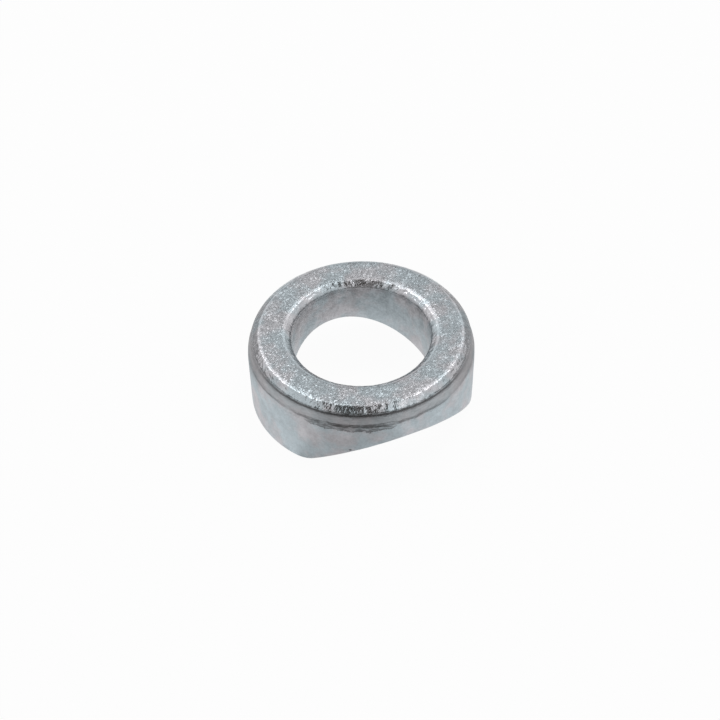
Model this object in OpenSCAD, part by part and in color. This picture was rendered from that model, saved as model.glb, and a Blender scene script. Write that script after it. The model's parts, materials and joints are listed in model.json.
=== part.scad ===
// Saddle washer for a round handlebar tube: a cold-forged, zinc-plated steel ring.
// Its flat top takes a nut, a knob or a bolt head, and its arched underside sits on the tube.
// The feet stand on Z = 0, the bore runs along Z and the tube's axis lies along Y.

/* [Ring] */
// Outside diameter, measured at the parting line
outer_d = 20; // [19:0.5:30]
// Diameter of the bore
bore_d = 12.3; // [8:0.1:13.5]
// Height from the feet to the flat top
height = 7.4; // [6.5:0.1:7.9]

/* [Saddle] */
// Diameter of the tube that the saddle sits on
tube_d = 22; // [19:0.1:24.5]
// How much wider than the tube the saddle is cut, on the diameter
tube_play = 0.2; // [0:0.05:0.6]
// Thickness left between the flat top and the crown of the saddle
crown_t = 3.9; // [3.4:0.1:5]
// Radius that rounds each foot into the saddle
foot_round = 1.5; // [0.5:0.1:2.5]

/* [Top edges] */
// Width of the outer bevel, seen from above
outer_bevel_w = 0.65; // [0.4:0.05:1]
// Depth of the outer bevel
outer_bevel_h = 0.65; // [0.4:0.05:1]
// Width of the bevel around the bore, seen from above
bore_bevel_w = 0.75; // [0.4:0.05:1]
// Depth of the bevel around the bore
bore_bevel_h = 0.5; // [0.35:0.05:1]
// Radius that softens the edges of the two bevels
edge_round = 0.5; // [0.1:0.05:0.6]

/* [Forging] */
// Depth of the parting line below the flat top
parting_depth = 1.8; // [1.5:0.05:2.5]
// Width of the step that the dies left along the parting line, seen from above
step_w = 0.1; // [0.05:0.01:0.2]
// Height of that step
step_h = 0.16; // [0.1:0.02:0.3]
// Radius of the worn crest of the step
step_round = 0.2; // [0.05:0.05:0.4]
// Draft of the wall above the step, in degrees
upper_draft = 9.5; // [3:0.5:14]
// Draft of the wall below the parting line, in degrees
lower_draft = 2.5; // [0:0.5:5]
// Radius that softens the outer edge of the feet
heel_round = 0.3; // [0.1:0.05:0.5]

/* [Hidden] */

$fn = 96;
steel = [0.66, 0.67, 0.69];

outer_r = outer_d / 2;
bore_r = bore_d / 2;
saddle_r = (tube_d + tube_play) / 2;

// Heights above the feet
parting_z = height - parting_depth;
step_z = parting_z + step_h;
neck_z = height - outer_bevel_h;
lip_z = height - bore_bevel_h;
tube_axis_z = height - crown_t - saddle_r;

// Radii of the turned section
step_r = outer_r - step_w;
neck_r = step_r - (neck_z - step_z) * tan(upper_draft);
heel_r = outer_r - parting_z * tan(lower_draft);
flat_outer_r = neck_r - outer_bevel_w;
flat_inner_r = bore_r + bore_bevel_w;

// Centre of the round between the saddle and a foot: it touches the saddle and the feet's plane
foot_round_x = sqrt(pow(saddle_r + foot_round, 2) - pow(foot_round - tube_axis_z, 2));

// How far the cutting bodies run past the ring
overshoot = 1;
// How far a rounding disc reaches past the faces it joins, so that it crosses them cleanly
cross_by = 0.001;

// Corners of the ring's section, as [radius, height, rounding], round from the foot of the bore
section_corners = [
    [bore_r, 0, 0],
    [heel_r, 0, heel_round],
    [outer_r, parting_z, step_round],
    [step_r, step_z, 0],
    [neck_r, neck_z, edge_round],
    [flat_outer_r, height, edge_round],
    [flat_inner_r, height, edge_round],
    [bore_r, lip_z, edge_round]
];

function unit(v) = v / norm(v);
function place(corner) = [corner.x, corner.y];

// What is left outside the arc that rounds the corner at b, which lies between a and c
module corner_waste(a, b, c, r) {
    back = unit(a - b);
    ahead = unit(c - b);
    inward = unit(back + ahead);
    half_angle = acos(back * ahead) / 2;
    reach = r / tan(half_angle);
    centre = b + inward * r / sin(half_angle);
    difference() {
        polygon([b + back * reach, b - inward * overshoot, b + ahead * reach, centre]);
        translate(centre) circle(r = r + cross_by);
    }
}

// The section with its corners rounded
module ring_section() {
    last = len(section_corners) - 1;
    difference() {
        polygon([for (corner = section_corners) place(corner)]);
        for (i = [0:last]) {
            before = section_corners[i == 0 ? last : i - 1];
            here = section_corners[i];
            after = section_corners[i == last ? 0 : i + 1];
            if (here.z > 0) corner_waste(place(before), place(here), place(after), here.z);
        }
    }
}

// Runs a section across the tube through the whole ring, along the tube's axis
module along_tube() {
    rotate([90, 0, 0])
        linear_extrude(height = outer_d + 2 * overshoot, center = true) children();
}

// What is cut away between the saddle and the foot on the +X side
module foot_waste() {
    along_tube()
        difference() {
            polygon([[0, tube_axis_z], [foot_round_x, -overshoot], [foot_round_x, foot_round]]);
            translate([foot_round_x, foot_round]) circle(r = foot_round + cross_by);
        }
}

// The ring cut out to the tube's own diameter
module arched_ring() {
    difference() {
        rotate_extrude() ring_section();
        translate([0, 0, tube_axis_z])
            rotate([90, 0, 0])
                cylinder(r = saddle_r, h = outer_d + 2 * overshoot, center = true);
    }
}

module washer() {
    color(steel)
        difference() {
            arched_ring();
            foot_waste();
            mirror([1, 0, 0]) foot_waste();
        }
}

washer();
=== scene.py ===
"""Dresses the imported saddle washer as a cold-forged, zinc-plated steel ring, and sets up its studio."""

import json
import logging
import math
from dataclasses import dataclass
from enum import Enum
from typing import Any, Callable, Iterable, Sequence, Union

import bpy
from mathutils import Matrix, Vector

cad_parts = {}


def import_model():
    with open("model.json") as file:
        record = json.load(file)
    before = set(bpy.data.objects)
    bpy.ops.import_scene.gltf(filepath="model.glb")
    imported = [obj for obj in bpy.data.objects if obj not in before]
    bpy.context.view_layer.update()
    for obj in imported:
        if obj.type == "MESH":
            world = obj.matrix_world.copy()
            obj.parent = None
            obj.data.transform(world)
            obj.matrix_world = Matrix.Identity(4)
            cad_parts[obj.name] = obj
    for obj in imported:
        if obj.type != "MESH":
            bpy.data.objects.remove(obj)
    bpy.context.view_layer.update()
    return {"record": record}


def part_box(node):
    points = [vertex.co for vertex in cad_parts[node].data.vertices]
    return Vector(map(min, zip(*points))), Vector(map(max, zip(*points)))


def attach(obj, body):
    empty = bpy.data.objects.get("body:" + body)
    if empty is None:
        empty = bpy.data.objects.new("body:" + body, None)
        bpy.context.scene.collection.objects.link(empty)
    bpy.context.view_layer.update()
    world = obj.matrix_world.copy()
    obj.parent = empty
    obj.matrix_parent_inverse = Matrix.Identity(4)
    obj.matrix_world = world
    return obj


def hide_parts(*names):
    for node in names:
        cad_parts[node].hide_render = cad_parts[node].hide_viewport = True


log = logging.getLogger("washer")

MM = 0.001
NODE = "washer"
SLOT = "zinc_plated_steel"

# How far the visible bore stands inside the record's, on the radius
BORE_INSET = 0.07 * MM
# The slack with which a place is compared with a size
HAIR = 0.01 * MM
# Vertices closer together than this are merged
DOUBLES = 0.002 * MM
# How far apart two unit vectors may lie and still count as one direction
SAME_WAY = 1e-4

Number = Union[int, float]
Point = tuple[float, float]
Triple = tuple[float, float, float]
Colour = tuple[float, float, float, float]

UP: Triple = (0.0, 0.0, 1.0)
EVEN: Triple = (1.0, 1.0, 1.0)


class Zone(Enum):
    """Point attributes that tell the material where on the section a point lies."""

    GRAIN = "grain"
    BEVEL = "bevel"
    BAND = "band"
    LEDGE = "ledge"
    HOLLOW = "hollow"
    SKIRT = "skirt"


class Axis(Enum):
    """Directions that a shrinkwrap may look in."""

    UP = "up"
    BOTH = "both"


class Push(Enum):
    """Directions in which a relief moves vertices."""

    NORMAL = "NORMAL"
    UPRIGHT = "Z"


def smooth(low: float, high: float, value: float) -> float:
    """Steps gently from 0 to 1 as value goes from low to high."""
    t = min(max((value - low) / (high - low), 0.0), 1.0)
    return t * t * (3 - 2 * t)


def grey(level: float) -> Colour:
    """Gives an even grey."""
    return (level, level, level, 1.0)


def same_way(a: Vector, b: Vector) -> bool:
    """Do two places lie in the same direction from the washer's axis?"""
    return (a.xy.normalized() - b.xy.normalized()).length < SAME_WAY


def direction(azimuth: float, elevation: float) -> Vector:
    """Gives the direction from the washer to a place round it.

    Args:
        azimuth: 0 is on the -Y side and 90 on the +X side, in degrees.
        elevation: The angle above the floor, in degrees.

    Returns:
        A vector of length 1.
    """
    a, e = math.radians(azimuth), math.radians(elevation)
    return Vector((math.sin(a) * math.cos(e), -math.cos(a) * math.cos(e), math.sin(e)))


def arc(centre: Point, radius: float, start: float, end: float, steps: int) -> list[Point]:
    """Walks an arc in the section plane.

    Args:
        centre: The arc's centre, as radius and height.
        radius: The arc's own radius.
        start: The angle of the first point, in radians.
        end: The angle of the last point, in radians.
        steps: How many straight steps the arc takes.

    Returns:
        The points, both ends included.
    """
    turns = [start + (end - start) * i / steps for i in range(steps + 1)]
    return [(centre[0] + radius * math.cos(t), centre[1] + radius * math.sin(t)) for t in turns]


def line(start: Point, end: Point, steps: int) -> list[Point]:
    """Divides the straight way from start to end, both ends left out."""
    shares = [i / steps for i in range(1, steps)]
    return [(start[0] + (end[0] - start[0]) * s, start[1] + (end[1] - start[1]) * s) for s in shares]


def rounded(before: Point, corner: Point, after: Point, radius: float, steps: int) -> list[Point]:
    """Rounds one corner of an outline.

    Args:
        before: The outline's point before the corner.
        corner: The corner itself.
        after: The outline's point after the corner.
        radius: The radius of the rounding.
        steps: How many straight steps the rounding takes.

    Returns:
        The points of the arc that takes the corner's place.
    """
    at = Vector(corner)
    back = (Vector(before) - at).normalized()
    ahead = (Vector(after) - at).normalized()
    half = back.angle(ahead) / 2
    centre = at + (back + ahead).normalized() * radius / math.sin(half)
    reach = radius / math.tan(half)
    first = at + back * reach - centre
    last = at + ahead * reach - centre
    start = math.atan2(first.y, first.x)
    turn = math.atan2(last.y, last.x) - start
    turn = (turn + math.pi) % (2 * math.pi) - math.pi
    return arc((centre.x, centre.y), radius, start, start + turn, steps)


@dataclass(frozen=True)
class Sizes:
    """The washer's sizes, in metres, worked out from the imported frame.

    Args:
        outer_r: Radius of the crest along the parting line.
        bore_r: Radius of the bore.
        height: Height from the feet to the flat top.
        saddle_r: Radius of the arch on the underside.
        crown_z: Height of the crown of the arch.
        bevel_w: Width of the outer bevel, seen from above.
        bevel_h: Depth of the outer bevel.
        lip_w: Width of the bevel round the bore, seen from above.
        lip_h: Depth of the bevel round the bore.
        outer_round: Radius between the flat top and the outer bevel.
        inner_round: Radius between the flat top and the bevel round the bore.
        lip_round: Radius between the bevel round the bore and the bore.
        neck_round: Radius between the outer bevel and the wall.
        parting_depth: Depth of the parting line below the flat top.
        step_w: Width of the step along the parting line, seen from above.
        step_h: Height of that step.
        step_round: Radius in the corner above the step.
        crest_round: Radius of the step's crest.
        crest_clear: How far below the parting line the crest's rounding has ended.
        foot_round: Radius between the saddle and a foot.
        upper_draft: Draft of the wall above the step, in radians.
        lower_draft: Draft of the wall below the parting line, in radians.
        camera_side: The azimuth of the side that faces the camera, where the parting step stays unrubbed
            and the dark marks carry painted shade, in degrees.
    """

    outer_r: float
    bore_r: float
    height: float
    saddle_r: float
    crown_z: float

    bevel_w: float = 0.75 * MM
    bevel_h: float = 0.65 * MM
    lip_w: float = 0.8 * MM
    lip_h: float = 0.46 * MM
    outer_round: float = 0.95 * MM
    inner_round: float = 1.0 * MM
    lip_round: float = 0.6 * MM
    neck_round: float = 1.0 * MM
    parting_depth: float = 1.8 * MM
    step_w: float = 0.13 * MM
    step_h: float = 0.2 * MM
    step_round: float = 0.12 * MM
    crest_round: float = 0.10 * MM
    crest_clear: float = 0.15 * MM
    foot_round: float = 1.5 * MM
    upper_draft: float = math.radians(9.5)
    lower_draft: float = math.radians(2.5)
    camera_side: float = -25.0

    @classmethod
    def from_frame(cls, record: dict[str, Any]) -> "Sizes":
        """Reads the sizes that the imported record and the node's box give.

        Args:
            record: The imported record.

        Returns:
            The washer's sizes.
        """
        low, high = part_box(NODE)
        mounts = {mount["name"]: mount for mount in record["mounts"]}
        return cls(
            outer_r=(high[0] - low[0]) / 2,
            bore_r=mounts["bore"]["dims"]["r_mm"] * MM - BORE_INSET,
            height=high[2],
            saddle_r=mounts["saddle"]["dims"]["r_mm"] * MM,
            crown_z=mounts["saddle"]["pos_m"][2],
        )

    @property
    def tube_z(self) -> float:
        """Height of the tube's axis."""
        return self.crown_z - self.saddle_r

    @property
    def parting_z(self) -> float:
        """Height of the parting line."""
        return self.height - self.parting_depth

    @property
    def neck_z(self) -> float:
        """Height at which the outer bevel meets the wall."""
        return self.height - self.bevel_h

    @property
    def neck_r(self) -> float:
        """Radius at which the outer bevel meets the wall."""
        return self.step_r - (self.neck_z - self.step_z) * math.tan(self.upper_draft)

    @property
    def step_r(self) -> float:
        """Radius of the wall just above the step along the parting line."""
        return self.outer_r - self.step_w

    @property
    def step_z(self) -> float:
        """Height of the upper end of that step."""
        return self.parting_z + self.step_h

    @property
    def lip_z(self) -> float:
        """Height at which the bevel round the bore meets the bore."""
        return self.height - self.lip_h

    @property
    def flat_in(self) -> float:
        """Radius at which the flat top begins."""
        return self.bore_r + self.lip_w

    @property
    def flat_out(self) -> float:
        """Radius at which the flat top ends."""
        return self.neck_r - self.bevel_w

    @property
    def heel_r(self) -> float:
        """Radius of the wall at the feet."""
        return self.outer_r - self.parting_z * math.tan(self.lower_draft)

    @property
    def lower_z(self) -> float:
        """Height below which everything belongs to the wall or the underside."""
        return self.parting_z - self.crest_clear

    @property
    def foot_round_x(self) -> float:
        """Distance across the tube to the centre of the round between saddle and foot."""
        reach = self.saddle_r + self.foot_round
        return math.sqrt(reach**2 - (self.foot_round - self.tube_z) ** 2)


@dataclass(frozen=True)
class Relief:
    """A cloudy unevenness that a group of vertices gets.

    Args:
        grain: The size of its lumps.
        depth: How far it reaches.
        push: The direction in which it moves the vertices.
        middle: The level of the clouds at which a vertex stays where it is.
    """

    grain: float
    depth: float
    push: Push = Push.NORMAL
    middle: float = 0.8


class Workbench:
    """Edit-mode steps that the modelling of the washer is made of."""

    def start(self) -> None:
        """Leaves edit mode and deselects everything, as a new piece needs."""
        if bpy.context.object and bpy.context.object.mode != "OBJECT":
            bpy.ops.object.mode_set(mode="OBJECT")
        bpy.ops.object.select_all(action="DESELECT")

    def hold(self, piece: bpy.types.Object) -> None:
        """Makes one object the selected and active one."""
        self.start()
        piece.select_set(True)
        bpy.context.view_layer.objects.active = piece

    def open_up(self, piece: bpy.types.Object) -> None:
        """Enters edit mode with the whole piece selected."""
        self.hold(piece)
        bpy.ops.object.mode_set(mode="EDIT")
        bpy.ops.mesh.select_all(action="SELECT")

    def chain(self, name: str, points: Sequence[Point]) -> bpy.types.Object:
        """Draws an open outline in the XZ plane by extruding one vertex from point to point.

        Args:
            name: The new object's name.
            points: The outline's points, as X and Z.

        Returns:
            The object that holds the outline.
        """
        self.start()
        bpy.ops.mesh.primitive_plane_add(size=MM)
        piece = bpy.context.object
        piece.name = name
        self.open_up(piece)
        bpy.ops.mesh.merge(type="CENTER")
        bpy.ops.mesh.select_all(action="SELECT")
        bpy.ops.transform.translate(value=(points[0][0], 0, points[0][1]))
        for here, there in zip(points, points[1:]):
            step = (there[0] - here[0], 0, there[1] - here[1])
            bpy.ops.mesh.extrude_region_move(TRANSFORM_OT_translate={"value": step})
        bpy.ops.object.mode_set(mode="OBJECT")
        return piece

    def pick_edges(self, piece: bpy.types.Object, test: Callable[[Vector, Vector], bool]) -> None:
        """Enters edit mode with the edges selected whose two ends pass a test.

        Args:
            piece: The object to work on.
            test: Says whether an edge between two places is wanted.
        """
        self.hold(piece)
        bpy.ops.object.mode_set(mode="EDIT")
        bpy.ops.mesh.select_mode(type="EDGE")
        bpy.ops.mesh.select_all(action="DESELECT")
        bpy.ops.object.mode_set(mode="OBJECT")
        places = [vertex.co for vertex in piece.data.vertices]
        for edge in piece.data.edges:
            first, second = edge.vertices
            edge.select = test(places[first], places[second])
        bpy.ops.object.mode_set(mode="EDIT")

    def group(self, piece: bpy.types.Object, name: str, weigh: Callable[[Vector], float]) -> None:
        """Fills a vertex group by place.

        Args:
            piece: The object to work on.
            name: The group's name.
            weigh: Gives the weight at a place, from 0 to 1.
        """
        old = piece.vertex_groups.get(name)
        if old:
            piece.vertex_groups.remove(old)
        made = piece.vertex_groups.new(name=name)
        for vertex in piece.data.vertices:
            weight = weigh(vertex.co)
            if weight > 0:
                made.add([vertex.index], weight, "REPLACE")

    def apply(self, piece: bpy.types.Object, kind: str, **settings: Any) -> None:
        """Adds a modifier with its settings and applies it.

        Args:
            piece: The object to work on.
            kind: The modifier's type.
            settings: The modifier's properties by name.
        """
        self.hold(piece)
        modifier = piece.modifiers.new(kind.lower(), kind)
        for key, value in settings.items():
            setattr(modifier, key, value)
        bpy.ops.object.modifier_apply(modifier=modifier.name)

    def press(self, piece: bpy.types.Object, former: bpy.types.Object, group: str, way: Axis) -> None:
        """Moves a group of vertices straight up or down onto a former.

        Args:
            piece: The object to press.
            former: The object that gives the shape.
            group: The vertex group that moves.
            way: Whether to look only up or both ways.
        """
        self.apply(
            piece,
            "SHRINKWRAP",
            target=former,
            vertex_group=group,
            wrap_method="PROJECT",
            use_project_z=True,
            use_positive_direction=True,
            use_negative_direction=way is Axis.BOTH,
        )

    def face_out(self, piece: bpy.types.Object) -> None:
        """Turns every face of a piece outwards."""
        self.open_up(piece)
        bpy.ops.mesh.normals_make_consistent(inside=False)
        bpy.ops.object.mode_set(mode="OBJECT")

    def cut_ring(self, cuts: int) -> None:
        """Divides the selected ring of edges and leaves edit mode."""
        bpy.ops.mesh.subdivide_edgering(number_cuts=cuts, interpolation="LINEAR")
        bpy.ops.object.mode_set(mode="OBJECT")

    def emboss(
        self, piece: bpy.types.Object, name: str, weigh: Callable[[Vector], float], relief: Relief
    ) -> None:
        """Fills a vertex group and gives it a relief.

        Args:
            piece: The object to work on.
            name: The group's name.
            weigh: Gives the weight at a place, from 0 to 1.
            relief: The unevenness.
        """
        self.group(piece, name, weigh)
        clouds = bpy.data.textures.new(f"{name}_relief", "CLOUDS")
        clouds.noise_scale = relief.grain
        clouds.noise_depth = 2
        self.apply(
            piece,
            "DISPLACE",
            texture=clouds,
            texture_coords="LOCAL",
            vertex_group=name,
            direction=relief.push.value,
            mid_level=relief.middle,
            strength=relief.depth,
        )


@dataclass
class Washer:
    """The forged ring and its wear.

    Args:
        sizes: The washer's sizes.
        bench: The modelling steps.
        segments: How many steps the ring takes round the bore.
        stock: How far the feet reach down before they are pressed.
        heel_bevel: Width of the rounding along the outer lower rim.
        bore_edge_bevel: Width of the rounding along the bore's lower rim.
        underside_cuts: How often the underside is cut before its rims are rounded.
        underside_recuts: How often each of its rings is cut again afterwards.
        wall_cuts: How often the tall edges of the wall are cut.
        bore_cuts: How often those of the bore are cut.
        torn: The ragged edge along the parting line.
        crest: The wandering of the parting line up and down.
        shoulder: The peening of the bevels.
        forging: The waviness of the walls.
        rubbing: How far the step is rubbed away beside the side that faces the camera.
        rub_steps: How many times the rubbed step is smoothed.
    """

    sizes: Sizes
    bench: Workbench
    segments: int = 360
    stock: float = 1.0 * MM
    heel_bevel: float = 0.3 * MM
    bore_edge_bevel: float = 0.09 * MM
    underside_cuts: int = 5
    underside_recuts: int = 2
    wall_cuts: int = 15
    bore_cuts: int = 9
    torn: Relief = Relief(0.28 * MM, 0.05 * MM)
    crest: Relief = Relief(1.2 * MM, 0.5 * MM, Push.UPRIGHT, middle=0.5)
    shoulder: Relief = Relief(0.4 * MM, 0.035 * MM)
    forging: Relief = Relief(2.6 * MM, 0.04 * MM)
    rubbing: float = 0.8
    rub_steps: int = 50

    def section(self) -> list[Point]:
        """Draws the section from the foot of the bore, over the top and down to the heel.

        Returns:
            The section's points, as radius and height.
        """
        s = self.sizes
        foot_in = (s.bore_r, -self.stock)
        lip = (s.bore_r, s.lip_z)
        top_in = (s.flat_in, s.height)
        top_out = (s.flat_out, s.height)
        neck = (s.neck_r, s.neck_z)
        step = (s.step_r, s.step_z)
        crest = (s.outer_r, s.parting_z)
        heel = (s.heel_r, -self.stock)
        inner_low = rounded(foot_in, lip, top_in, s.lip_round, steps=9)
        inner_high = rounded(lip, top_in, top_out, s.inner_round, steps=9)
        outer_high = rounded(top_in, top_out, neck, s.outer_round, steps=11)
        outer_low = rounded(top_out, neck, step, s.neck_round, steps=7)
        turn_up = rounded(neck, step, crest, s.step_round, steps=2)
        turn_down = rounded(step, crest, heel, s.crest_round, steps=4)
        return [
            foot_in,
            *inner_low,
            *inner_high,
            *line(inner_high[-1], outer_high[0], steps=9),
            *outer_high,
            *line(outer_high[-1], outer_low[0], steps=3),
            *outer_low,
            *line(outer_low[-1], turn_up[0], steps=6),
            *turn_up,
            *line(turn_up[-1], turn_down[0], steps=4),
            *turn_down,
            heel,
        ]

    def former(self) -> bpy.types.Object:
        """Builds the table with the tube half sunk in it, which the underside is pressed onto.

        Returns:
            The former, a sheet that runs along the tube.
        """
        s = self.sizes
        quarter = math.pi / 2
        lean = math.atan2(s.foot_round_x, s.foot_round - s.tube_z)
        foot = arc((s.foot_round_x, s.foot_round), s.foot_round, -quarter, -quarter - lean, steps=12)
        arch = arc((0, s.tube_z), s.saddle_r, quarter - lean, quarter + lean, steps=96)
        far = [(-x, z) for x, z in reversed(foot)]
        edge = s.outer_r + self.stock
        sheet = self.bench.chain("former", [(edge, 0.0), *foot, *arch[1:-1], *far, (-edge, 0.0)])
        self.bench.open_up(sheet)
        bpy.ops.transform.translate(value=(0, -edge, 0))
        bpy.ops.mesh.extrude_region_move(TRANSFORM_OT_translate={"value": (0, 2 * edge, 0)})
        bpy.ops.object.mode_set(mode="OBJECT")
        return sheet

    def turn(self) -> bpy.types.Object:
        """Spins the section into a ring and closes its underside.

        Returns:
            The ring, with its feet left long.
        """
        ring = self.bench.chain("forged_washer", self.section())
        self.bench.open_up(ring)
        bpy.ops.mesh.spin(steps=self.segments, angle=2 * math.pi, center=(0, 0, 0), axis=UP)
        bpy.ops.mesh.select_all(action="SELECT")
        bpy.ops.mesh.remove_doubles(threshold=DOUBLES)
        low = HAIR - self.stock
        self.bench.pick_edges(ring, lambda a, b: a.z < low and b.z < low)
        bpy.ops.mesh.bridge_edge_loops()
        bpy.ops.object.mode_set(mode="OBJECT")
        return ring

    def arch(self, ring: bpy.types.Object, former: bpy.types.Object) -> None:
        """Presses the underside onto the former and gives the wall its draft.

        Args:
            ring: The ring with long feet.
            former: The shape of the underside.
        """
        s = self.sizes
        bench = self.bench
        middle = (s.bore_r + s.heel_r) / 2
        bench.group(ring, "underside", lambda p: float(p.z < s.lower_z))
        bench.press(ring, former, "underside", Axis.UP)
        bench.group(ring, "heel", lambda p: float(p.z < s.lower_z and p.xy.length > middle))
        bench.apply(
            ring,
            "SIMPLE_DEFORM",
            deform_method="TAPER",
            deform_axis="Z",
            factor=s.height * math.tan(s.lower_draft) / s.heel_r,
            vertex_group="heel",
        )
        bench.press(ring, former, "underside", Axis.BOTH)
        self.divide_underside(ring, self.underside_cuts)
        self.settle(ring, former)

    def divide_underside(self, ring: bpy.types.Object, cuts: int) -> None:
        """Divides the radial edges of the underside.

        Args:
            ring: The ring.
            cuts: How often each edge is cut.
        """
        s = self.sizes
        inner = s.bore_r + self.bore_edge_bevel
        outer = s.heel_r - self.heel_bevel
        least_run = 0.3 * MM

        def radial(a: Vector, b: Vector) -> bool:
            """Does the edge from a to b run outwards between the rims?"""
            near, far = sorted((a.xy.length, b.xy.length))
            between = far - near > least_run and far > inner and near < outer
            return max(a.z, b.z) <= s.lower_z and between and same_way(a, b)

        self.bench.pick_edges(ring, radial)
        self.bench.cut_ring(cuts)

    def settle(self, ring: bpy.types.Object, former: bpy.types.Object) -> None:
        """Presses the inside of the underside onto the former, its two rims left as they are.

        Args:
            ring: The ring.
            former: The shape of the underside.
        """
        s = self.sizes
        inner = s.bore_r + self.bore_edge_bevel * 1.3
        ceiling = s.crown_z + 0.3 * MM

        def inside(place: Vector) -> float:
            """Gives 1 to a place between the rims and 0 to any other."""
            outer = s.heel_r + max(place.z, 0) * math.tan(s.lower_draft) - self.heel_bevel * 1.1
            return float(place.z < ceiling and inner < place.xy.length < outer)

        self.bench.group(ring, "inside", inside)
        self.bench.press(ring, former, "inside", Axis.BOTH)

    def ease_rim(self, ring: bpy.types.Object, reach: Point, offset: float, segments: int) -> None:
        """Rounds one of the ring's two lower rims.

        Args:
            ring: The ring.
            reach: The two radii that the rim lies between.
            offset: The width of the rounding.
            segments: How many steps the rounding takes.
        """
        ceiling = self.sizes.lower_z

        def on_rim(place: Vector) -> bool:
            """Is a place on the rim?"""
            return place.z <= ceiling and reach[0] < place.xy.length < reach[1]

        self.bench.pick_edges(ring, lambda a, b: on_rim(a) and on_rim(b))
        bpy.ops.mesh.bevel(offset=offset, segments=segments, profile=0.5, affect="EDGES")
        bpy.ops.object.mode_set(mode="OBJECT")

    def divide_walls(self, ring: bpy.types.Object) -> None:
        """Divides the tall edges of the bore and of the wall below the parting line.

        Args:
            ring: The ring.
        """
        s = self.sizes
        least_rise = 1.0 * MM

        def upright(a: Vector, b: Vector) -> bool:
            """Is the edge from a to b a tall upright one?"""
            return same_way(a, b) and abs(a.z - b.z) > least_rise

        self.bench.pick_edges(ring, lambda a, b: upright(a, b) and a.xy.length > s.heel_r - HAIR)
        self.bench.cut_ring(self.wall_cuts)
        self.bench.pick_edges(ring, lambda a, b: upright(a, b) and a.xy.length < s.bore_r + HAIR)
        self.bench.cut_ring(self.bore_cuts)

    def zone_levels(self, r: float, z: float) -> dict[Zone, float]:
        """Works out how far a place on the section belongs to each zone.

        Args:
            r: Its radius.
            z: Its height.

        Returns:
            A level from 0 to 1 for each zone.
        """
        s = self.sizes
        outer_bevel = smooth(s.flat_out - 0.15 * MM, s.flat_out + 0.15 * MM, r)
        inner_bevel = 1 - smooth(s.flat_in - 0.3 * MM, s.flat_in, r)
        above_neck = smooth(s.neck_z - 0.05 * MM, s.neck_z + 0.15 * MM, z)
        below_neck = 1 - smooth(s.neck_z - 0.12 * MM, s.neck_z + 0.08 * MM, z)
        above_crest = smooth(s.parting_z - 0.1 * MM, s.step_z + 0.1 * MM, z)
        above_ledge = smooth(s.parting_z - 0.5 * MM, s.parting_z - 0.2 * MM, z)
        below_ledge = 1 - smooth(s.step_z, s.step_z + 0.2 * MM, z)
        above_crown = smooth(s.crown_z - 1.5 * MM, s.lip_z, z)
        near_bore = 1 - smooth(s.bore_r, s.bore_r + 0.4 * MM, r)
        below_crest = 1 - smooth(s.parting_z - 0.1 * MM, s.parting_z, z)
        return {
            Zone.GRAIN: smooth(s.height - 0.06 * MM, s.height - 0.01 * MM, z),
            Zone.BEVEL: max(outer_bevel, inner_bevel) * above_neck,
            Zone.BAND: above_crest * below_neck * float(r > s.flat_out),
            Zone.LEDGE: above_ledge * below_ledge * float(r > s.heel_r),
            Zone.HOLLOW: above_crown * near_bore,
            Zone.SKIRT: below_crest * float(r > s.heel_r - 2 * self.heel_bevel),
        }

    def mark_zones(self, ring: bpy.types.Object) -> None:
        """Writes the zone attributes, while the rows still lie at their even heights.

        Args:
            ring: The ring, not yet worn.
        """
        places = [vertex.co for vertex in ring.data.vertices]
        levels = [self.zone_levels(place.xy.length, place.z) for place in places]
        for zone in Zone:
            made = ring.data.attributes.new(zone.value, "FLOAT", "POINT")
            made.data.foreach_set("value", [level[zone] for level in levels])

    def wear(self, ring: bpy.types.Object) -> None:
        """Gives the turned shape the unevenness of a forging, always inwards.

        Args:
            ring: The ring with its zones marked.
        """
        s = self.sizes
        bench = self.bench

        def on_wall(place: Vector) -> float:
            """Gives 1 to a place on the outer wall and 0 to one further in."""
            return float(place.xy.length >= s.neck_r - 0.1 * MM)

        def parting(place: Vector, near: float, far: float) -> float:
            """Fades out between two distances from the wall's parting line."""
            return (1 - smooth(near, far, abs(place.z - s.parting_z))) * on_wall(place)

        def crest(place: Vector) -> float:
            """Weighs the wandering, which drags the wall along above and below."""
            above = 1 - smooth(s.step_z + 0.05 * MM, s.neck_z - 0.12 * MM, place.z)
            below = smooth(s.parting_z - 1.0 * MM, s.parting_z - 0.1 * MM, place.z)
            return above * below * on_wall(place)

        def rubbed(place: Vector) -> float:
            """Weighs the rubbing of the step, which spares the side that faces the camera."""
            facing = place.xy.normalized().dot(direction(s.camera_side, 0).xy)
            return parting(place, 0.4 * MM, 0.8 * MM) * (1 - smooth(0.76, 0.93, facing)) * self.rubbing

        def shoulder(place: Vector) -> float:
            """Weighs the peening of the two bevels."""
            outer = smooth(s.flat_out - 0.1 * MM, s.flat_out + 0.3 * MM, place.xy.length)
            inner = 1 - smooth(s.flat_in - 0.35 * MM, s.flat_in, place.xy.length)
            return max(outer, inner) * smooth(s.neck_z - 0.15 * MM, s.neck_z + 0.1 * MM, place.z)

        def all_but_seats(place: Vector) -> float:
            """Weighs the waviness, which spares the flat top and the feet."""
            above_feet = smooth(0, 0.4 * MM, place.z)
            below_top = 1 - smooth(s.height - 0.3 * MM, s.height, place.z)
            outside = smooth(s.bore_r, s.bore_r + 0.5 * MM, place.xy.length)
            return above_feet * below_top * (0.3 + 0.7 * outside)

        bench.emboss(ring, "torn", lambda p: parting(p, 0.05 * MM, 0.3 * MM), self.torn)
        bench.emboss(ring, "crest", crest, self.crest)
        bench.group(ring, "rubbed", rubbed)
        bench.apply(ring, "SMOOTH", factor=0.5, iterations=self.rub_steps, vertex_group="rubbed")
        bench.emboss(ring, "shoulder", shoulder, self.shoulder)
        bench.emboss(ring, "forging", all_but_seats, self.forging)

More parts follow.
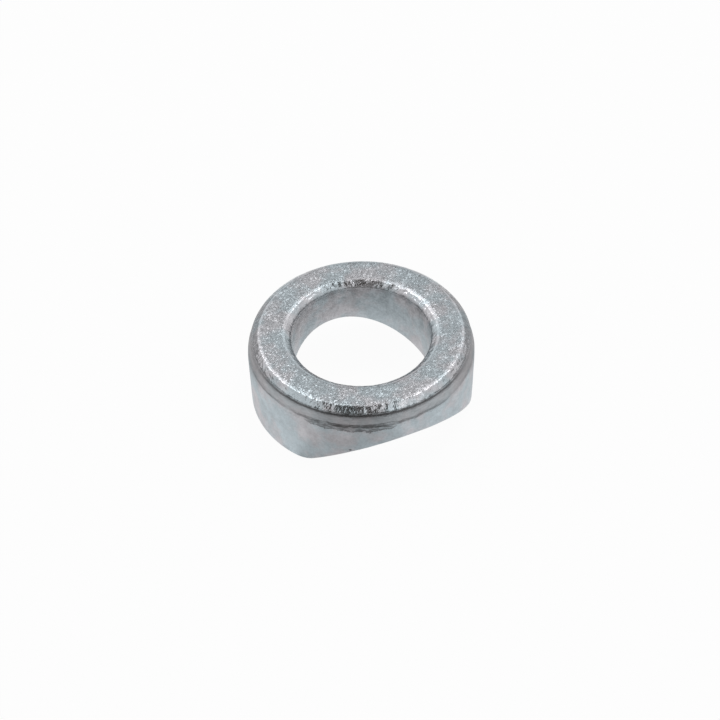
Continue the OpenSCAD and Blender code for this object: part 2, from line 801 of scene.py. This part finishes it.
    def build(self) -> bpy.types.Object:
        """Models the washer.

        Returns:
            The finished mesh, not yet dressed.
        """
        s = self.sizes
        former = self.former()
        ring = self.turn()
        self.arch(ring, former)
        self.ease_rim(ring, (s.bore_r - HAIR, s.bore_r + HAIR), self.bore_edge_bevel, segments=3)
        self.ease_rim(ring, (s.heel_r - 2 * HAIR, s.outer_r), self.heel_bevel, segments=5)
        self.divide_underside(ring, self.underside_recuts)
        self.settle(ring, former)
        self.divide_walls(ring)
        bpy.data.objects.remove(former)
        self.bench.face_out(ring)
        self.mark_zones(ring)
        self.wear(ring)
        self.bench.face_out(ring)
        bpy.ops.object.shade_smooth()
        log.info("washer: %d faces", len(ring.data.polygons))
        return ring


class Wire:
    """A socket that takes part in arithmetic, each operation adding its Math node."""

    def __init__(self, board: "Board", socket: bpy.types.NodeSocket) -> None:
        """Keeps the socket and the board that its nodes are on."""
        self.board = board
        self.socket = socket

    def _math(self, operation: str, *values: "Level") -> "Wire":
        """Adds one Math node on the given values."""
        inputs = dict(enumerate(values))
        return self.board.add("ShaderNodeMath", {"operation": operation}, inputs).out()

    def __add__(self, other: "Level") -> "Wire":
        """Adds two levels."""
        return self._math("ADD", self, other)

    def __radd__(self, other: "Level") -> "Wire":
        """Adds two levels, the number first."""
        return self._math("ADD", other, self)

    def __sub__(self, other: "Level") -> "Wire":
        """Takes one level from another."""
        return self._math("SUBTRACT", self, other)

    def __rsub__(self, other: "Level") -> "Wire":
        """Takes this level from a number."""
        return self._math("SUBTRACT", other, self)

    def __mul__(self, other: "Level") -> "Wire":
        """Multiplies two levels."""
        return self._math("MULTIPLY", self, other)

    def __rmul__(self, other: "Level") -> "Wire":
        """Multiplies two levels, the number first."""
        return self._math("MULTIPLY", other, self)

    def __truediv__(self, other: "Level") -> "Wire":
        """Divides one level by another."""
        return self._math("DIVIDE", self, other)

    def __rtruediv__(self, other: "Level") -> "Wire":
        """Divides a number by this level."""
        return self._math("DIVIDE", other, self)

    def __abs__(self) -> "Wire":
        """Drops this level's sign."""
        return self._math("ABSOLUTE", self)

    def most(self, other: "Level") -> "Wire":
        """Takes the larger of two levels."""
        return self._math("MAXIMUM", self, other)

    def step(self, low: Number, high: Number) -> "Wire":
        """Steps gently from 0 to 1 as this level goes from low to high."""
        settings = {"interpolation_type": "SMOOTHSTEP", "clamp": True}
        inputs = {"Value": self, "From Min": low, "From Max": high}
        return self.board.add("ShaderNodeMapRange", settings, inputs).out("Result")


Level = Union[Wire, Number]


class Part:
    """One node on a board."""

    def __init__(self, board: "Board", node: bpy.types.Node) -> None:
        """Keeps the node and its board."""
        self.board = board
        self.node = node

    def out(self, name: Union[str, int] = 0) -> Wire:
        """Gives one of the node's outputs as a wire."""
        return Wire(self.board, self.node.outputs[name])


@dataclass(frozen=True)
class Pattern:
    """A noise that the plating is patterned with.

    Args:
        size: The size of its lumps, in metres.
        detail: How many finer layers it has.
        rough: How strong the finer layers are.
        stretch: How much finer it is along each axis.
    """

    size: float
    detail: float = 3.0
    rough: float = 0.6
    stretch: Triple = EVEN


class Board:
    """A node tree with one way to add any node."""

    def __init__(self, tree: bpy.types.NodeTree) -> None:
        """Clears the tree."""
        self.tree = tree
        tree.nodes.clear()

    def add(self, kind: str, settings: dict[str, Any], inputs: dict[Union[str, int], Any]) -> Part:
        """Adds a node.

        Args:
            kind: The node's type.
            settings: Its properties, which are set first.
            inputs: Values or wires by the name or the place of the input.

        Returns:
            The node.
        """
        node = self.tree.nodes.new(kind)
        for key, value in settings.items():
            setattr(node, key, value)
        for key, value in inputs.items():
            if isinstance(value, Wire):
                self.tree.links.new(value.socket, node.inputs[key])
            else:
                node.inputs[key].default_value = value
        return Part(self, node)

    def zone(self, zone: Zone) -> Wire:
        """Reads one of the washer's zone attributes."""
        settings = {"attribute_type": "GEOMETRY", "attribute_name": zone.value}
        return self.add("ShaderNodeAttribute", settings, {}).out("Fac")

    def place(self) -> Wire:
        """Reads the Object coordinates."""
        return self.add("ShaderNodeTexCoord", {}, {}).out("Object")

    def vector(self, operation: str, first: Any, second: Any) -> Part:
        """Adds a Vector Math node on two vectors."""
        return self.add("ShaderNodeVectorMath", {"operation": operation}, {0: first, 1: second})

    def along(self, vector: Wire, way: Sequence[float]) -> Wire:
        """Measures how far a place lies in a direction."""
        return self.vector("DOT_PRODUCT", vector, tuple(way)).out("Value")

    def apart(self, vector: Wire, point: Sequence[float]) -> Wire:
        """Measures how far a place is from a point."""
        return self.vector("DISTANCE", vector, tuple(point)).out("Value")

    def noise(self, vector: Wire, pattern: Pattern) -> Wire:
        """Reads a noise.

        Args:
            vector: Where to read it, in metres.
            pattern: What the noise is like.

        Returns:
            The noise, around 0.5.
        """
        if pattern.stretch != EVEN:
            vector = self.vector("MULTIPLY", vector, pattern.stretch).out()
        finer = {"Detail": pattern.detail, "Roughness": pattern.rough}
        inputs = {"Vector": vector, "Scale": 0.5 / pattern.size, **finer}
        return self.add("ShaderNodeTexNoise", {}, inputs).out("Fac")

    def crystals(self, vector: Wire, size: float) -> Part:
        """Divides space into crystals of the given size."""
        return self.add("ShaderNodeTexVoronoi", {"feature": "F1"}, {"Vector": vector, "Scale": 1 / size})

    def cells(self, vector: Wire, size: float) -> Wire:
        """Gives each crystal of the given size a level of its own, from 0 to 1."""
        colour = self.crystals(vector, size).out("Color")
        return self.add("ShaderNodeSeparateColor", {}, {"Color": colour}).out("Red")

    def facets(self, vector: Wire, size: float) -> Wire:
        """Tilts each crystal of the given size its own way.

        Args:
            vector: Where to read the crystals, in metres.
            size: How wide a crystal is, in metres.

        Returns:
            The height of the tilted crystals, which goes from about -0.5 to 0.5.
        """
        found = self.crystals(vector, size)
        offset = self.vector("SUBTRACT", vector, found.out("Position")).out()
        lean = self.vector("SUBTRACT", found.out("Color"), (0.5, 0.5, 0.5)).out()
        return self.vector("DOT_PRODUCT", offset, lean).out("Value") / size

    def blend(self, share: Level, first: Union[Wire, Colour], second: Union[Wire, Colour]) -> Wire:
        """Mixes two colours by a share from 0 to 1."""
        inputs = {0: share, 6: first, 7: second}
        return self.add("ShaderNodeMix", {"data_type": "RGBA"}, inputs).out(2)

    def tone(self, colour: Wire, level: Level) -> Wire:
        """Makes a colour lighter or darker by a level."""
        even = self.add("ShaderNodeCombineColor", {}, {0: level, 1: level, 2: level}).out()
        settings = {"data_type": "RGBA", "blend_type": "MULTIPLY"}
        return self.add("ShaderNodeMix", settings, {0: 1.0, 6: colour, 7: even}).out(2)

    def seen(self) -> Wire:
        """Gives 1 to the rays of the camera, of gloss and of glass, and 0 to all others."""
        paths = self.add("ShaderNodeLightPath", {}, {})
        seen = paths.out("Is Camera Ray").most(paths.out("Is Glossy Ray"))
        return seen.most(paths.out("Is Transmission Ray"))

    def show(self, shader: Part) -> None:
        """Makes a shader the material's surface."""
        self.add("ShaderNodeOutputMaterial", {}, {"Surface": shader.out()})


def new_material(name: str) -> tuple[bpy.types.Material, Board]:
    """Makes an empty material.

    Args:
        name: Its name.

    Returns:
        The material and the board with its nodes.
    """
    material = bpy.data.materials.new(name)
    material.use_nodes = True
    return material, Board(material.node_tree)


@dataclass
class ZincPlate:
    """Bright zinc over a forged surface.

    Args:
        sizes: The washer's sizes.
        cool: The plating's main colour.
        warm: The colour of its faint warm patches.
        burnished: The colour of the band that the die has rubbed smooth.
        shade: The colour of the dark marks: partly torn metal and the nick, partly painted shade along
            the parting line and the neck on the side that faces the camera.
        nick: The place of a small nick in the wall's lower edge.
        nick_fade: The distances from it at which the nick ends and is full.
        front_fade: How far out towards the camera the parting line's marks and their painted shade fade
            in and are full.
        neck_shade_fade: The same for the painted shade along the neck, which reaches further round.
        tongue_left: Where along the wall the tongue of flash fades in and is full.
        tongue_right: Where at its other end it fades out and is still full.
        crystal: How wide a crystal of the flat top is.
        bump: The height of a bump of level 1.
        patch_noise: The warm patches.
        speckle_noise: The fine speckle.
        cloud_noise: The larger light and dark clouds.
        mottle_noise: The mottling of the bore.
        streak_noise: The marks that the die rubs round the wall.
        flake_noise: The raggedness of the flakes and their painted shade along the parting step.
        tongue_noise: The raggedness of the tongue.
        neck_shade_noise: The wandering of the line of painted shade along the neck.
        sheen_noise: The unevenness of the roughness.
        fine_noise: The fine bumps all over.
        peened_noise: The bumps of the bevels.
        drawn_noise: The upright bumps of the lower wall.
    """

    sizes: Sizes
    cool: Colour = (0.366, 0.411, 0.436, 1.0)
    warm: Colour = (0.436, 0.406, 0.418, 1.0)
    burnished: Colour = (0.38, 0.395, 0.41, 1.0)
    shade: Colour = (0.14, 0.14, 0.145, 1.0)
    nick: Triple = (-5.12 * MM, -8.43 * MM, 2.72 * MM)
    nick_fade: Point = (0.17 * MM, 0.07 * MM)
    front_fade: Point = (6.6 * MM, 8.2 * MM)
    neck_shade_fade: Point = (2.0 * MM, 8.0 * MM)
    tongue_left: Point = (-5.4 * MM, -4.3 * MM)
    tongue_right: Point = (3.5 * MM, 2.2 * MM)
    crystal: float = 0.15 * MM
    bump: float = 0.028 * MM
    patch_noise: Pattern = Pattern(1.3 * MM)
    speckle_noise: Pattern = Pattern(0.10 * MM, detail=2.0)
    cloud_noise: Pattern = Pattern(0.6 * MM, rough=0.55)
    mottle_noise: Pattern = Pattern(0.4 * MM)
    streak_noise: Pattern = Pattern(0.35 * MM, rough=0.65, stretch=(1.0, 1.0, 3.0))
    flake_noise: Pattern = Pattern(0.3 * MM)
    tongue_noise: Pattern = Pattern(0.45 * MM, detail=4.0, rough=0.7)
    neck_shade_noise: Pattern = Pattern(0.5 * MM)
    sheen_noise: Pattern = Pattern(0.25 * MM, detail=2.0)
    fine_noise: Pattern = Pattern(0.085 * MM, detail=2.0)
    peened_noise: Pattern = Pattern(0.26 * MM, detail=2.0, rough=0.55)
    drawn_noise: Pattern = Pattern(0.35 * MM, stretch=(1.0, 1.0, 0.45))

    def __post_init__(self) -> None:
        """Makes the material, with the place that its patterns are read at."""
        self.material, self.board = new_material(SLOT)
        self.place = self.board.place()

    def noise(self, pattern: Pattern) -> Wire:
        """Reads a noise, around 0.5."""
        return self.board.noise(self.place, pattern)

    def streaks(self) -> Wire:
        """Draws the marks that the die rubs round the wall, around 0."""
        return self.noise(self.streak_noise) - 0.5

    def front_shade(self, fade: Point) -> Wire:
        """Finds the side that faces the camera, where the dark marks carry painted shade, fading in
        between two distances.
        """
        return self.board.along(self.place, direction(self.sizes.camera_side, 0)).step(*fade)

    def plating(self, patches: Wire) -> Wire:
        """Works out the colour of the zinc where nothing has rubbed it.

        Args:
            patches: How warm the plating is, from 0 to 1.

        Returns:
            The colour.
        """
        grain = self.board.zone(Zone.GRAIN)
        plain = 1 - grain
        sparkle = self.board.cells(self.place, self.crystal).step(0.55, 1.0) * grain
        speckle = self.noise(self.speckle_noise).step(0.35, 0.65)
        clouds = self.noise(self.cloud_noise).step(0.25, 0.75) - 0.5
        mottles = self.noise(self.mottle_noise).step(0.35, 0.65) - 0.5
        # Painted shade and light: the flat top is kept darker and the other faces, the lower wall most,
        # lighter, for how they catch the studio's light; the lower wall is partly a lighter matte zinc
        # too. The speckle, sparkle and clouds are the zinc's own.
        level = 0.82 + speckle * 0.14 + sparkle * 0.16 + self.board.zone(Zone.SKIRT) * 0.2
        level = level + clouds * (0.12 + plain * 0.12) + plain * 0.26
        # Painted shade: the upper bore under the lip is darkened; only its mottles are the zinc's own.
        level = level + self.board.zone(Zone.HOLLOW) * (mottles * 0.2 - 0.24)
        zinc = self.board.blend(patches * (0.65 - grain * 0.1), self.cool, self.warm)
        return self.board.tone(zinc, level)

    def colour(self) -> Wire:
        """Works out the base colour.

        Returns:
            The colour.
        """
        board = self.board
        patches = self.noise(self.patch_noise).step(0.4, 0.62)
        burnish = board.blend(patches * 0.5, self.burnished, self.warm)
        rubbed = board.tone(burnish, 0.94 + self.streaks() * 0.8)
        plate = board.blend(board.zone(Zone.BAND) * 0.75, self.plating(patches), rubbed)
        # The dark marks paint shade on the side that faces the camera, besides torn metal and a nick.
        return board.blend(self.marks(), plate, self.shade)

    def marks(self) -> Wire:
        """Finds the dark marks: the flakes, and the tongue and its rim, which are partly painted shade,
        the painted shade along the neck, and the nick.

        Returns:
            How dark a place is, from 0 to 1.
        """
        tongue, rim = self.tongue()
        streaks = self.streaks().step(-0.12, 0.15)
        marks = (self.flakes_and_shade() * 0.25).most(tongue * (0.25 + streaks * 0.6)).most(rim * 0.8)
        nick = self.board.apart(self.place, self.nick).step(*self.nick_fade)
        return marks.most(self.neck_shade() * 0.85).most(nick * 0.8)

    def neck_shade(self) -> Wire:
        """Finds the thin line of painted shade where the bevel meets the wall.

        Returns:
            How much a place belongs to the line, which is strongest on the side that faces the camera.
        """
        rise = self.board.along(self.place, UP) - self.sizes.neck_z
        ragged = self.noise(self.neck_shade_noise) - 0.5
        off = rise + 0.04 * MM + ragged * 0.12 * MM
        return abs(off).step(0.13 * MM, 0.04 * MM) * self.front_shade(self.neck_shade_fade)

    def flakes_and_shade(self) -> Wire:
        """Finds the ragged dark flakes along the parting step, partly torn metal and partly painted shade
        under the step on the side that faces the camera.

        Returns:
            How much a place belongs to the flakes and their painted shade.
        """
        ragged = self.noise(self.flake_noise) - 0.5
        flakes_and_shade = (self.board.zone(Zone.LEDGE) * 0.8 + ragged * 2.2).step(0.75, 1.05)
        return flakes_and_shade * self.front_shade(self.front_fade)

    def tongue(self) -> tuple[Wire, Wire]:
        """Finds the tongue of flash that was pressed flat under the parting line, whose dark colour, on
        the side that faces the camera only, is partly painted shade.

        Returns:
            How much a place belongs to the tongue, and how much to its torn lower edge, whose dark line
            is partly painted shade.
        """
        across = self.board.along(self.place, direction(self.sizes.camera_side + 90, 0))
        ends = across.step(*self.tongue_left) * across.step(*self.tongue_right)
        window = ends * self.front_shade(self.front_fade)
        ragged = self.noise(self.tongue_noise) - 0.5
        depth = self.sizes.parting_z - self.board.along(self.place, UP)
        inside = window * (0.5 * MM + ragged * 1.3 * MM) - depth
        above = depth.step(-0.25 * MM, -0.05 * MM) * window
        rim = abs(inside).step(0.1 * MM, 0.02 * MM) * above
        return inside.step(-0.02 * MM, 0.05 * MM) * above, rim

    def roughness(self) -> Wire:
        """Works out the roughness.

        Returns:
            The roughness.
        """
        zone = self.board.zone
        sheen = self.noise(self.sheen_noise) - 0.5
        smoothed = zone(Zone.BEVEL) * 0.15 + zone(Zone.BAND) * 0.02 + zone(Zone.GRAIN) * 0.06
        matte = zone(Zone.SKIRT) * 0.14 + zone(Zone.HOLLOW) * 0.15
        return 0.40 + sheen * 0.2 - smoothed + matte

    def relief(self) -> Wire:
        """Works out the bumps.

        Returns:
            The normal.
        """
        zone = self.board.zone
        grain = zone(Zone.GRAIN)
        tongue, rim = self.tongue()
        rubbed = self.streaks() * (tongue + zone(Zone.BAND) * 0.8) * 1.6
        flash = tongue * 1.4 + rubbed - rim * 1.2
        crystals = self.board.facets(self.place, self.crystal) * grain * 1.9
        height = crystals + self.noise(self.fine_noise) * (0.35 + grain * 0.35) + flash
        height = height + self.noise(self.peened_noise) * (zone(Zone.BEVEL) * 3.8 + 0.3)
        height = height + self.noise(self.drawn_noise) * zone(Zone.SKIRT) * 0.8
        inputs = {"Strength": 1.0, "Distance": self.bump, "Height": height}
        return self.board.add("ShaderNodeBump", {}, inputs).out("Normal")

    def dress(self, piece: bpy.types.Object) -> None:
        """Completes the material and puts it on a piece.

        Args:
            piece: The piece to dress.
        """
        inputs = {
            "Base Color": self.colour(),
            "Metallic": 1.0,
            "Roughness": self.roughness(),
            "Normal": self.relief(),
        }
        self.board.show(self.board.add("ShaderNodeBsdfPrincipled", {}, inputs))
        piece.data.materials.clear()
        piece.data.materials.append(self.material)


@dataclass(frozen=True)
class Softbox:
    """A soft lamp of the studio.

    Args:
        name: The lamp's name.
        azimuth: Where it stands round the washer, in degrees, measured as the camera's azimuth is.
        elevation: How high it stands, in degrees.
        side: The length of its square face.
        radiance: How bright its face is, where a white wall is 1.
        distance: How far it is from the washer.
    """

    name: str
    azimuth: float
    elevation: float
    side: float
    radiance: float
    distance: float = 0.6

    def hang(self) -> None:
        """Hangs the lamp, facing the washer."""
        lamp = bpy.data.lights.new(self.name, "AREA")
        lamp.shape = "SQUARE"
        lamp.size = self.side
        lamp.energy = self.radiance * math.pi * self.side**2
        holder = bpy.data.objects.new(self.name, lamp)
        toward = direction(self.azimuth, self.elevation)
        holder.location = toward * self.distance
        holder.rotation_euler = toward.to_track_quat("Z", "Y").to_euler()
        bpy.context.scene.collection.objects.link(holder)


@dataclass(frozen=True)
class Flag:
    """A plain surface that only reflections see.

    Args:
        name: The flag's name.
        colour: Its plain colour.
    """

    name: str
    colour: Colour

    def shade(self, board: Board) -> Union[Wire, Colour]:
        """Gives the flag's colour, the same all over."""
        return self.colour

    def dress(self, flag: bpy.types.Object) -> None:
        """Hides a surface from all but reflections and gives it its colour.

        Args:
            flag: The surface.
        """
        flag.name = self.name
        bpy.ops.object.transform_apply()
        for way in ("visible_camera", "visible_diffuse", "visible_transmission", "visible_shadow"):
            setattr(flag, way, False)
        material, board = new_material(self.name)
        board.show(board.add("ShaderNodeEmission", {}, {"Color": self.shade(board), "Strength": 1.0}))
        flag.data.materials.append(material)


@dataclass(frozen=True)
class Card(Flag):
    """A flat rectangular flag that faces the washer.

    Args:
        azimuth: Where it stands round the washer, in degrees, measured as the camera's azimuth is.
        elevation: How high its nearest point stands, in degrees.
        sides: Its width and its length.
        distance: How far its nearest point is from the washer.
        slide: How far its middle lies above its nearest point, along its length.
    """

    azimuth: float
    elevation: float
    sides: Point
    distance: float
    slide: float

    def stand(self) -> None:
        """Stands the card up, facing the washer."""
        toward = direction(self.azimuth, self.elevation)
        turn = toward.to_track_quat("Z", "Y").to_matrix()
        place = toward * self.distance + turn.col[1] * self.slide
        Workbench().start()
        bpy.ops.mesh.primitive_plane_add(size=1, location=place, rotation=turn.to_euler())
        bpy.context.object.scale = (*self.sides, 1)
        self.dress(bpy.context.object)


@dataclass(frozen=True)
class Horizon(Flag):
    """The dim far edge of the table and of the room, all round the washer.

    Args:
        far: Its colour on the side behind the washer.
        azimuth: The direction of the camera, in degrees.
        radius: How far it is from the washer.
        height: How high it reaches.
        fade: Where it turns from far to near, as shares of the radius towards the camera.
    """

    far: Colour
    azimuth: float
    radius: float
    height: float
    fade: Point = (-0.7, 0.1)

    def shade(self, board: Board) -> Union[Wire, Colour]:
        """Goes from the far side's colour to the colour on the camera's side."""
        toward = board.along(board.place(), direction(self.azimuth, 0)) / self.radius
        return board.blend(toward.step(*self.fade), self.far, self.colour)

    def stand(self) -> None:
        """Stands the ring up on the floor."""
        Workbench().start()
        place = (0, 0, self.height / 2)
        bpy.ops.mesh.primitive_cylinder_add(
            vertices=96, radius=self.radius, depth=self.height, end_fill_type="NOTHING", location=place
        )
        self.dress(bpy.context.object)


@dataclass(frozen=True)
class Wedge(Flag):
    """The part of the table that the photographer keeps the light from.

    Args:
        azimuth: The direction in which it opens, in degrees, measured as the camera's azimuth is.
        behind: How far its point lies behind the middle of the washer.
        length: How far it reaches from its point.
        width: How wide it is at its far end.
        level: Its height, just under the feet.
    """

    azimuth: float
    behind: float
    length: float
    width: float
    level: float

    def stand(self) -> None:
        """Lays the wedge on the floor, from a triangle with its corners at a distance of 1."""
        Workbench().start()
        bpy.ops.mesh.primitive_circle_add(vertices=3, radius=1.0, fill_type="NGON")
        wedge = bpy.context.object
        side, height = math.sqrt(3), 1.5
        forward = direction(self.azimuth, 0)
        wedge.scale = (self.width / side, self.length / height, 1)
        wedge.rotation_euler.z = math.atan2(forward.y, forward.x) + math.pi / 2
        wedge.location = forward * (self.length * 2 / 3 - self.behind) + Vector((0, 0, self.level))
        self.dress(wedge)


@dataclass
class Studio:
    """The floor, the room, the lamps and the camera.

    Args:
        sizes: The washer's sizes.
        azimuth: The camera's azimuth, in degrees, as direction() takes it.
        elevation: The camera's elevation, in degrees.
        distance: How far the camera is from the middle of the flat top.
        lens: The camera's focal length, in millimetres.
        sensor: The width of its sensor, in millimetres.
        clip: The nearest and the furthest distance that it sees.
        aside: How far the flat top's middle lies right of and above the picture's middle.
        roll: How far the camera is turned about its own axis, in radians.
        room_level: How bright the room is as a source of light, where white is 1.
        floor_side: The length of the floor's sides.
        floor_z: The floor's height, just under the feet.
        floor_glow: The share of the floor that stays white where it is seen.
        cloth: The colour of the rest, which takes the shadow.
    """

    sizes: Sizes
    azimuth: float = -24.68
    elevation: float = 44.55
    distance: float = 387.0 * MM
    lens: float = 221.0
    sensor: float = 36.0
    clip: Point = (0.01, 10.0)
    aside: Point = (0.074 * MM, 2.455 * MM)
    roll: float = math.radians(1.21)
    room_level: float = 0.5
    floor_side: float = 2.4
    floor_z: float = -0.04 * MM
    floor_glow: float = 0.95
    cloth: Colour = grey(0.86)

    def lamps(self) -> Iterable[Softbox]:
        """Lists the lamps."""
        return (
            Softbox("left_box", self.azimuth - 138, 59, side=0.2, radiance=3.5),
            Softbox("right_box", self.azimuth + 146, 65, side=0.24, radiance=3.4),
            Softbox("front_box", self.azimuth + 44, 42, side=0.19, radiance=0.8),
        )

    def flags(self) -> Iterable[Union[Card, Horizon, Wedge]]:
        """Lists the dark and dim surfaces that the metal mirrors.

        Returns:
            The cards, the horizon and the wedges on the table.
        """
        a = self.azimuth
        dark = (0.05, 0.042, 0.036, 1.0)
        pale = grey(0.66)
        beside = {"behind": -8.5 * MM, "length": 0.1, "width": 0.24, "level": -0.03 * MM}
        return (
            Card("over_card", dark, a - 10, 56.3, sides=(0.146, 1.045), distance=0.255, slide=0.4025),
            Card("low_card", dark, a - 8, 15.0, sides=(0.075, 0.023), distance=45 * MM, slide=0.0),
            Horizon("horizon", grey(0.25), grey(0.45), a, radius=50 * MM, height=19 * MM),
            Wedge("near_wedge", pale, a - 6, behind=1.5 * MM, length=0.2, width=0.2, level=-0.02 * MM),
            Wedge("left_wedge", pale, a - 115, **beside),
            Wedge("right_wedge", pale, a + 115, **beside),
        )

    def floor(self) -> None:
        """Lays a pale floor that stays white and keeps the washer's soft shadow."""
        Workbench().start()
        bpy.ops.mesh.primitive_plane_add(size=self.floor_side, location=(0, 0, self.floor_z))
        floor = bpy.context.object
        floor.name = "floor"
        material, board = new_material("floor_white")
        cloth = board.add("ShaderNodeBsdfDiffuse", {}, {"Color": self.cloth})
        glow = board.add("ShaderNodeEmission", {}, {"Color": grey(1.0), "Strength": 1.0})
        inputs = {0: board.seen() * self.floor_glow, 1: cloth.out(), 2: glow.out()}
        board.show(board.add("ShaderNodeMixShader", {}, inputs))
        floor.data.materials.append(material)

    def room(self) -> None:
        """Makes the plain white room."""
        world = bpy.data.worlds.new("room")
        world.use_nodes = True
        bpy.context.scene.world = world
        board = Board(world.node_tree)
        level = board.seen().most(self.room_level)
        background = board.add("ShaderNodeBackground", {}, {"Color": grey(1.0), "Strength": level})
        board.add("ShaderNodeOutputWorld", {}, {"Surface": background.out()})

    def camera(self) -> None:
        """Sets the camera up at the photograph's viewing angle."""
        data = bpy.data.cameras.new("camera")
        data.lens = self.lens
        data.sensor_width = self.sensor
        data.clip_start, data.clip_end = self.clip
        holder = bpy.data.objects.new("camera", data)
        top = Vector((0.0, 0.0, self.sizes.height))
        back = direction(self.azimuth, self.elevation)
        holder.location = top + back * self.distance
        upright = back.to_track_quat("Z", "Y").to_matrix()
        roll = Matrix.Rotation(-self.roll, 3, "Z")
        rolled = upright @ roll
        target = top - rolled @ Vector((*self.aside, 0.0))
        aim = (holder.location - target).normalized()
        turn = aim.to_track_quat("Z", "Y").to_matrix() @ roll
        holder.rotation_euler = turn.to_euler()
        bpy.context.scene.collection.objects.link(holder)
        bpy.context.scene.camera = holder

    def build(self) -> None:
        """Builds the studio."""
        self.floor()
        self.room()
        for lamp in self.lamps():
            lamp.hang()
        for flag in self.flags():
            flag.stand()
        self.camera()
        bpy.context.scene.view_settings.view_transform = "Standard"


def main() -> None:
    """Builds the washer and its studio."""
    logging.basicConfig(level=logging.INFO, format="%(name)s: %(message)s")
    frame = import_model()
    sizes = Sizes.from_frame(frame["record"])
    piece = Washer(sizes, Workbench()).build()
    ZincPlate(sizes).dress(piece)
    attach(piece, "root")
    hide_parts(NODE)
    Studio(sizes).build()


if __name__ == "__main__":
    main()
